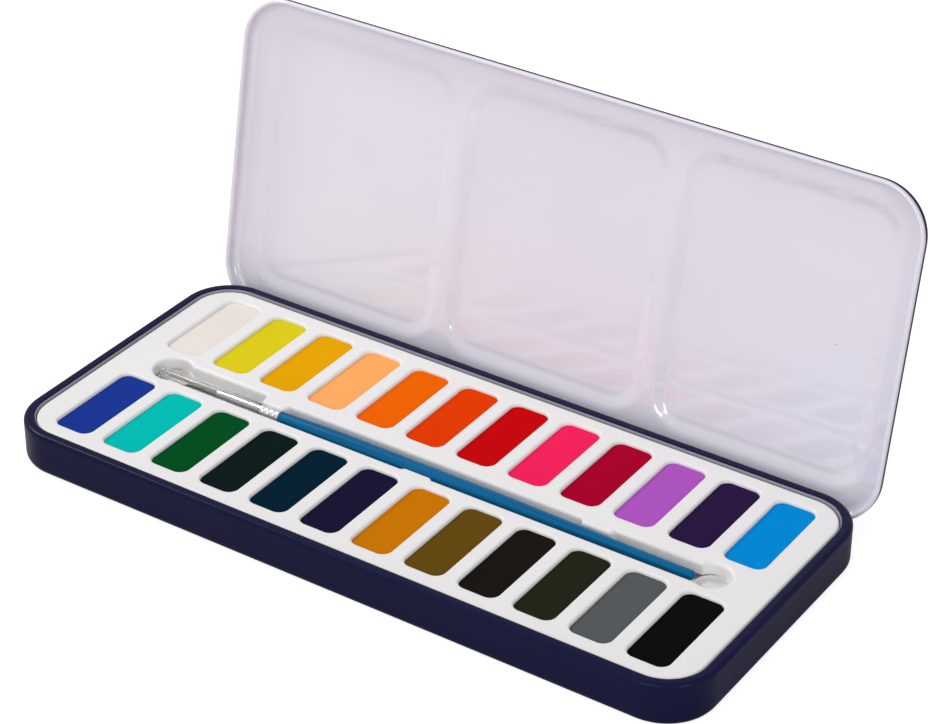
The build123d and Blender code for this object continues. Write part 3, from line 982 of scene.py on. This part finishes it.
def drawn_metal(name, colour, roughness):
    """Bright metal with fine marks round the X axis."""
    material, tree, shader = material_of(name, Metallic=1.0)
    link = tree.links.new
    place = tree.nodes.new("ShaderNodeTexCoord").outputs["Object"]
    squeeze = add_node(tree, "ShaderNodeMapping", {"Scale": (1500, 200, 200)})
    link(place, squeeze.inputs["Vector"])
    marks = add_node(tree, "ShaderNodeTexNoise", {"Scale": 1.0, "Detail": 2})
    link(squeeze.outputs[0], marks.inputs["Vector"])
    ramp = add_node(tree, "ShaderNodeValToRGB")
    ramp.color_ramp.elements[0].color = linear(METAL_SHADE)
    ramp.color_ramp.elements[1].color = linear(colour)
    link(marks.outputs["Fac"], ramp.inputs["Fac"])
    link(ramp.outputs[0], shader.inputs["Base Color"])
    limits = {"To Min": roughness - 0.06, "To Max": roughness + 0.1}
    rough = add_node(tree, "ShaderNodeMapRange", limits)
    link(marks.outputs["Fac"], rough.inputs["Value"])
    link(rough.outputs[0], shader.inputs["Roughness"])
    return material


@cache
def ferrule_metal():
    """Polished aluminium of the ferrule."""
    return drawn_metal("ferrule_metal", FERRULE_BRIGHT, roughness=0.38)


@cache
def hinge_steel():
    """Plain steel of the hinge brackets and pins."""
    return drawn_metal("hinge_steel", HINGE_BRIGHT, roughness=0.35)


@cache
def cap_plastic():
    """Thin clear plastic, faintly clouded along its length."""
    material, tree, shader = material_of(
        "cap_plastic", Transmission_Weight=1.0, IOR=1.3)
    link = tree.links.new
    place = tree.nodes.new("ShaderNodeTexCoord").outputs["Object"]
    cloud = add_node(tree, "ShaderNodeTexNoise", {"Scale": 160, "Detail": 2})
    link(place, cloud.inputs["Vector"])
    rough = add_node(tree, "ShaderNodeMapRange", {"To Min": 0.04, "To Max": 0.2})
    link(cloud.outputs["Fac"], rough.inputs["Value"])
    link(rough.outputs[0], shader.inputs["Roughness"])
    tint = add_node(tree, "ShaderNodeValToRGB")
    tint.color_ramp.elements[0].color = linear("F2F3F4")
    tint.color_ramp.elements[1].color = linear("FBFBFB")
    link(cloud.outputs["Fac"], tint.inputs["Fac"])
    link(tint.outputs[0], shader.inputs["Base Color"])
    return material


@cache
def bristle_hair():
    """Pale soft hair, a little darker from strand to strand."""
    material, tree, shader = material_of("bristle_hair", Sheen_Weight=0.3)
    link = tree.links.new
    place = tree.nodes.new("ShaderNodeTexCoord").outputs["Object"]
    stretch = add_node(tree, "ShaderNodeMapping", {"Scale": (60, 9000, 9000)})
    link(place, stretch.inputs["Vector"])
    strands = add_node(tree, "ShaderNodeTexNoise", {"Scale": 1.0})
    link(stretch.outputs[0], strands.inputs["Vector"])
    ramp = add_node(tree, "ShaderNodeValToRGB")
    ramp.color_ramp.elements[0].color = linear(BRISTLE_DARK)
    ramp.color_ramp.elements[1].color = linear(BRISTLE_PALE)
    link(strands.outputs["Fac"], ramp.inputs["Fac"])
    link(ramp.outputs[0], shader.inputs["Base Color"])
    rough = add_node(tree, "ShaderNodeMapRange", {"To Min": 0.4, "To Max": 0.65})
    link(strands.outputs["Fac"], rough.inputs["Value"])
    link(rough.outputs[0], shader.inputs["Roughness"])
    return material


def cake_paint(colour):
    """Pressed watercolour: satin, with fine specks and a barely uneven face."""
    return coated(
        "paint_" + colour, CAKE_COLOURS[colour], "D8D4CC", roughness=0.5, drift=0.14, dust=0.035,
        bump_mm=0.012, Specular_IOR_Level=0.01)


def finish_solid(node, material):
    """Give a carried-over solid its material."""
    solid = frame["nodes"][node]
    if not solid.material_slots:
        solid.data.materials.append(material)
    for slot in solid.material_slots:
        slot.material = material


def finish_solids():
    """Materials of the solids that stay as they are."""
    for colour in CAKE_COLOURS:
        finish_solid("paint_" + colour, cake_paint(colour))
    for side in ("left", "right"):
        finish_solid("hinge_bracket_" + side, hinge_steel())
        finish_solid("hinge_pin_" + side, hinge_steel())
        finish_solid("hinge_tongue_" + side, navy_enamel())


def make_camera():
    """The camera at the photograph's place and angle."""
    azimuth = math.radians(CAMERA_AZIMUTH)
    elevation = math.radians(CAMERA_ELEVATION)
    roll = math.radians(CAMERA_ROLL)
    back = Vector((
        math.sin(azimuth) * math.cos(elevation),
        -math.cos(azimuth) * math.cos(elevation),
        math.sin(elevation)))
    level = Vector((math.cos(azimuth), math.sin(azimuth), 0))
    upright = back.cross(level)
    across = level * math.cos(roll) + upright * math.sin(roll)
    up = upright * math.cos(roll) - level * math.sin(roll)
    lens = bpy.data.cameras.new("photo_camera")
    lens.lens = CAMERA_LENS
    lens.sensor_width = SENSOR_W
    lens.sensor_fit = "HORIZONTAL"
    lens.clip_start = 0.01
    camera = bpy.data.objects.new("photo_camera", lens)
    place = (Vector(CAMERA_TARGET) + back * CAMERA_DISTANCE) * MM
    turn = Matrix((across, up, back)).transposed().to_4x4()
    camera.matrix_world = Matrix.Translation(place) @ turn
    bpy.context.scene.collection.objects.link(camera)
    bpy.context.scene.camera = camera


def seen_directly(tree):
    """One where the camera looks, and nought for all other rays."""
    return tree.nodes.new("ShaderNodeLightPath").outputs["Is Camera Ray"]


def make_world():
    """Plain white where it is seen, and a level soft light on the object."""
    world = bpy.data.worlds.new("studio_world")
    world.use_nodes = True
    bpy.context.scene.world = world
    tree = world.node_tree
    tree.nodes.clear()
    light = add_node(
        tree, "ShaderNodeBackground", {"Color": WORLD_COLOUR, "Strength": WORLD_LIGHT})
    seen = add_node(tree, "ShaderNodeBackground", {"Color": (1, 1, 1, 1), "Strength": 1.0})
    mixed = tree.nodes.new("ShaderNodeMixShader")
    output = tree.nodes.new("ShaderNodeOutputWorld")
    tree.links.new(seen_directly(tree), mixed.inputs[0])
    tree.links.new(light.outputs[0], mixed.inputs[1])
    tree.links.new(seen.outputs[0], mixed.inputs[2])
    tree.links.new(mixed.outputs[0], output.inputs[0])


def make_floor():
    """A plain white floor that keeps the object's shadow."""
    half = FLOOR_HALF
    mesh = bpy.data.meshes.new("floor")
    corners = [(-half, -half, 0), (half, -half, 0), (half, half, 0), (-half, half, 0)]
    mesh.from_pydata(corners, [], [(0, 1, 2, 3)])
    material, tree, shader = material_of("floor_white", Roughness=0.9, Specular_IOR_Level=0.0)
    shader.inputs["Base Color"].default_value = (*FLOOR_COLOUR, 1)
    glow = add_node(tree, "ShaderNodeEmission", {"Color": (1, 1, 1, 1)})
    tree.links.new(scaled(tree, seen_directly(tree), FLOOR_GLOW), glow.inputs["Strength"])
    both = tree.nodes.new("ShaderNodeAddShader")
    tree.links.new(shader.outputs[0], both.inputs[0])
    tree.links.new(glow.outputs[0], both.inputs[1])
    tree.links.new(both.outputs[0], tree.nodes["Material Output"].inputs["Surface"])
    floor = mesh_object("floor", mesh, material)


def scaled(tree, value, factor):
    """A value times a constant."""
    times = add_node(tree, "ShaderNodeMath", {1: factor}, operation="MULTIPLY")
    tree.links.new(value, times.inputs[0])
    return times.outputs[0]


def add_softbox(name, place, width, watts, height=None):
    """A soft light, square unless a height is given, that faces the middle of the tin."""
    data = bpy.data.lights.new(name, "AREA")
    data.shape = "RECTANGLE"
    data.size = width
    data.size_y = height or width
    data.energy = watts
    lamp = bpy.data.objects.new(name, data)
    aim = Vector(LIGHT_AIM) - Vector(place)
    turn = aim.to_track_quat("-Z", "Y").to_matrix().to_4x4()
    lamp.matrix_world = Matrix.Translation(place) @ turn
    bpy.context.scene.collection.objects.link(lamp)


def make_lights():
    """A key light from the left, a broad front one, a small right one and a low front strip."""
    add_softbox("left_softbox", (-0.9, 0.0, 0.85), 0.4, 6.5)
    add_softbox("front_softbox", (0.1, -1.1, 0.75), 0.8, 4.6)
    add_softbox("right_softbox", (1.1, -0.5, 0.5), 0.35, 2.4)
    add_softbox("front_strip", (0.0, -0.62, 0.05), 0.05, 0.25, height=0.16)


make_camera()
make_world()
make_lights()
make_floor()
make_base_tin()
make_lid_tin()
make_paint_tray()
make_brush_handle()
make_brush_ferrule()
make_brush_cap()
make_brush_bristles()
finish_solids()
bpy.context.scene.view_settings.view_transform = "Standard"
